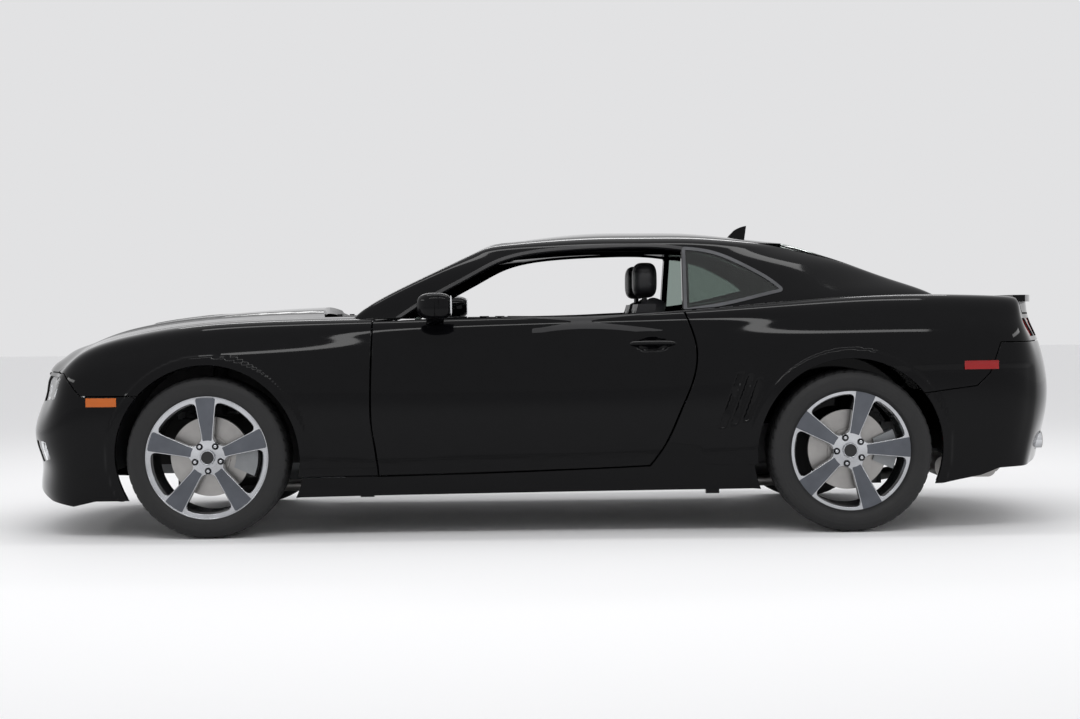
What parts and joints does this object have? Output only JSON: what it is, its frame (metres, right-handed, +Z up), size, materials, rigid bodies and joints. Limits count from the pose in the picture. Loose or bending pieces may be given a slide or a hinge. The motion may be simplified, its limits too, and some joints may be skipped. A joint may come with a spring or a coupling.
{
  "type": "muscle car, two-door coupe",
  "caption": "Black two-door muscle coupe on five-spoke grey wheels, with leather cabin, opening doors, hood and boot lid, steered front wheels and a lip spoiler.",
  "frame": {"origin": "on the ground under the middle of the bounding box", "axes": "+X forward, +Y to the car's left, +Z up"},
  "size_m": [4.8359, 2.0888, 1.398],
  "materials": {
    "body_paint": "gloss",
    "dark_trim": "satin",
    "glass": "gloss",
    "clear_lens": "gloss",
    "red_lens": "gloss",
    "amber_lens": "gloss",
    "tyre_rubber": "matte",
    "wheel_paint": "satin",
    "disc_iron": "satin",
    "chassis_steel": "satin",
    "raw_steel": "satin",
    "cast_metal": "matte",
    "cabin_plastic": "matte",
    "seat_leather": "satin"
  },
  "bodies": {
    "body": {"body_side_left": "body_paint", "body_side_right": "body_paint", "fender_left": "body_paint", "fender_right": "body_paint", "front_bumper": "body_paint", "rear_bumper": "body_paint", "roof_panel": "body_paint", "deck_panel": "body_paint", "grilles": "dark_trim", "wipers": "dark_trim", "wheel_liners": "dark_trim", "windscreen": "glass", "rear_window": "glass", "quarter_glass": "glass", "headlamps": "clear_lens", "fog_lamps": "clear_lens", "tail_lamps": "red_lens", "rear_markers": "red_lens", "front_markers": "amber_lens", "rear_knuckles": "cast_metal", "engine_block": "cast_metal", "driveline": "cast_metal", "front_rails": "chassis_steel", "front_arms": "chassis_steel", "rear_arms": "chassis_steel", "rear_subframe": "chassis_steel", "floor_pan": "chassis_steel", "firewall": "chassis_steel", "rear_bulkhead": "chassis_steel", "half_shafts": "raw_steel", "exhaust": "raw_steel", "dashboard": "cabin_plastic", "centre_console": "cabin_plastic", "front_seats": "seat_leather", "rear_seat": "seat_leather"},
    "door_left": {"door_left": "body_paint", "mirror_left": "dark_trim"},
    "door_right": {"door_right": "body_paint", "mirror_right": "dark_trim"},
    "hood": {"hood": "body_paint"},
    "trunk_lid": {"trunk_lid": "body_paint", "spoiler": "body_paint"},
    "steering_wheel": {"steering_wheel": "cabin_plastic"},
    "knuckle_front_left": {"knuckle_front_left": "cast_metal"},
    "knuckle_front_right": {"knuckle_front_right": "cast_metal"},
    "wheel_front_left": {"tyre_front_left": "tyre_rubber", "rim_front_left": "wheel_paint", "brake_disc_front_left": "disc_iron"},
    "wheel_front_right": {"tyre_front_right": "tyre_rubber", "rim_front_right": "wheel_paint", "brake_disc_front_right": "disc_iron"},
    "wheel_rear_left": {"tyre_rear_left": "tyre_rubber", "rim_rear_left": "wheel_paint", "brake_disc_rear_left": "disc_iron"},
    "wheel_rear_right": {"tyre_rear_right": "tyre_rubber", "rim_rear_right": "wheel_paint", "brake_disc_rear_right": "disc_iron"}
  },
  "joints": [
    {"name": "door_left_hinge", "type": "hinge", "parent": "body", "child": "door_left", "pos_m": [0.825, 0.896, 0.62], "axis": [0, 0, -1], "range_deg": [0, 65]},
    {"name": "door_right_hinge", "type": "hinge", "parent": "body", "child": "door_right", "pos_m": [0.825, -0.896, 0.62], "axis": [0, 0, 1], "range_deg": [0, 65]},
    {"name": "hood_hinge", "type": "hinge", "parent": "body", "child": "hood", "pos_m": [1, 0, 0.946], "axis": [0, -1, 0], "range_deg": [0, 55]},
    {"name": "trunk_lid_hinge", "type": "hinge", "parent": "body", "child": "trunk_lid", "pos_m": [-1.9346, 0, 1.03656], "axis": [0, 1, 0], "range_deg": [0, 70]},
    {"name": "steer_front_left", "type": "hinge", "parent": "body", "child": "knuckle_front_left", "pos_m": [1.483, 0.749, 0.36], "axis": [0, 0, 1], "range_deg": [-32, 32]},
    {"name": "steer_front_right", "type": "hinge", "parent": "body", "child": "knuckle_front_right", "pos_m": [1.483, -0.749, 0.36], "axis": [0, 0, 1], "range_deg": [-32, 32]},
    {"name": "steering_column", "type": "hinge", "parent": "body", "child": "steering_wheel", "pos_m": [0.505, 0.37, 0.79], "axis": [-0.9272, 0, 0.3746], "range_deg": [-448, 448]},
    {"name": "spin_front_left", "type": "hinge", "parent": "knuckle_front_left", "child": "wheel_front_left", "pos_m": [1.483, 0.809, 0.36], "axis": [0, 1, 0], "continuous": true},
    {"name": "spin_front_right", "type": "hinge", "parent": "knuckle_front_right", "child": "wheel_front_right", "pos_m": [1.483, -0.809, 0.36], "axis": [0, 1, 0], "continuous": true},
    {"name": "spin_rear_left", "type": "hinge", "parent": "body", "child": "wheel_rear_left", "pos_m": [-1.369, 0.814, 0.36], "axis": [0, 1, 0], "continuous": true},
    {"name": "spin_rear_right", "type": "hinge", "parent": "body", "child": "wheel_rear_right", "pos_m": [-1.369, -0.814, 0.36], "axis": [0, 1, 0], "continuous": true}
  ],
  "couplings": [
    {"joint": "steer_front_right", "follows": "steer_front_left", "ratio": 1},
    {"joint": "steering_column", "follows": "steer_front_left", "ratio": 14}
  ]
}
